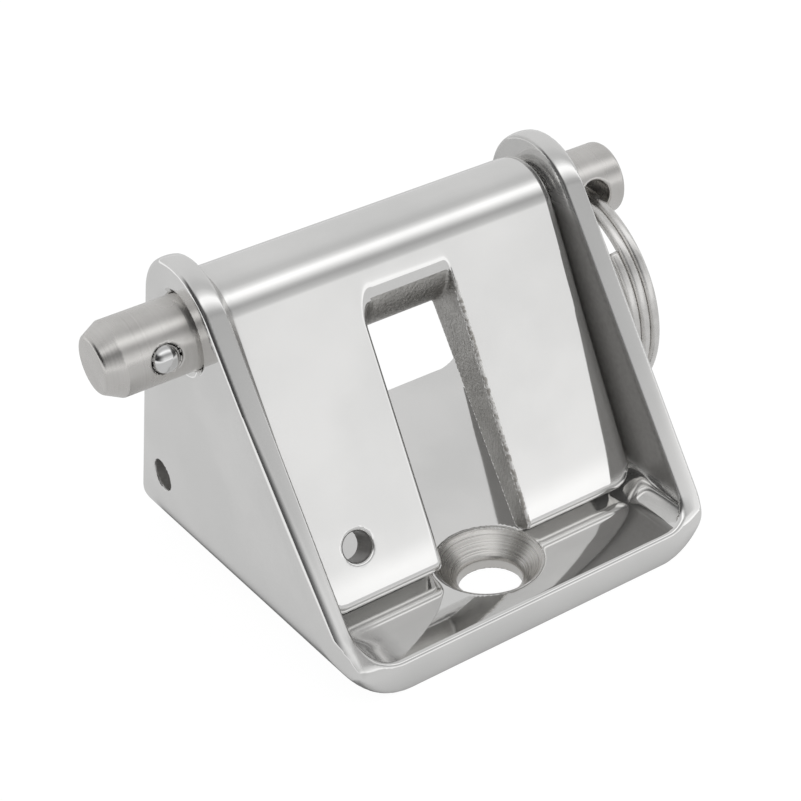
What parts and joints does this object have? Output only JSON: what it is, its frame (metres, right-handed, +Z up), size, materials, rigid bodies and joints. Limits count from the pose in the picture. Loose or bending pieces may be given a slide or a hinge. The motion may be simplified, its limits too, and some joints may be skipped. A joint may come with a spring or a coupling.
{
  "type": "anchor chain stopper",
  "caption": "Deck-mounted anchor chain stopper: a U-shaped base with sloped cheeks, a hinged slotted flap that holds the chain, and a quick-release pin with a split ring.",
  "frame": {"origin": "midway between the two deck screw holes, on the underside of the base", "axes": "+Z up out of the deck; the flap's sloped front faces -Y; the pin runs along X with its tip at -X and its ring at +X"},
  "size_m": [0.0779, 0.055, 0.0491],
  "materials": {
    "polished_stainless": "mirror-polished stainless steel",
    "turned_stainless": "satin turned stainless steel",
    "ball_steel": "ground bearing ball",
    "wire_steel": "drawn stainless wire"
  },
  "bodies": {
    "base": {"base_channel": "polished_stainless"},
    "flap": {"chain_flap": "polished_stainless"},
    "pin": {"release_pin": "turned_stainless", "detent_spring": "wire_steel"},
    "ball_front": {"detent_ball_front": "ball_steel"},
    "ball_rear": {"detent_ball_rear": "ball_steel"},
    "ring": {"pull_ring": "wire_steel"}
  },
  "joints": [
    {"name": "flap_swing", "type": "hinge", "parent": "base", "child": "flap", "pos_m": [0, 0.0055, 0.0395], "axis": [-1, 0, 0], "range_deg": [0, 292]},
    {"name": "pin_pull", "type": "slide", "parent": "base", "child": "pin", "axis": [1, 0, 0], "range_m": [0, 0.0046]},
    {"name": "ball_front_press", "type": "slide", "parent": "pin", "child": "ball_front", "axis": [0, 1, 0], "range_m": [0, 0.00125], "deforming": ["detent_spring"]},
    {"name": "ball_rear_press", "type": "slide", "parent": "pin", "child": "ball_rear", "axis": [0, -1, 0], "range_m": [0, 0.00125], "deforming": ["detent_spring"]},
    {"name": "ring_swing", "type": "hinge", "parent": "pin", "child": "ring", "pos_m": [0.03255, 0.0055, 0.0395], "axis": [0, -1, 0], "range_deg": [-2, 182]}
  ],
  "couplings": [
    {"joint": "ball_front_press", "follows": "pin_pull", "ratio": 0.27},
    {"joint": "ball_rear_press", "follows": "pin_pull", "ratio": 0.27}
  ]
}
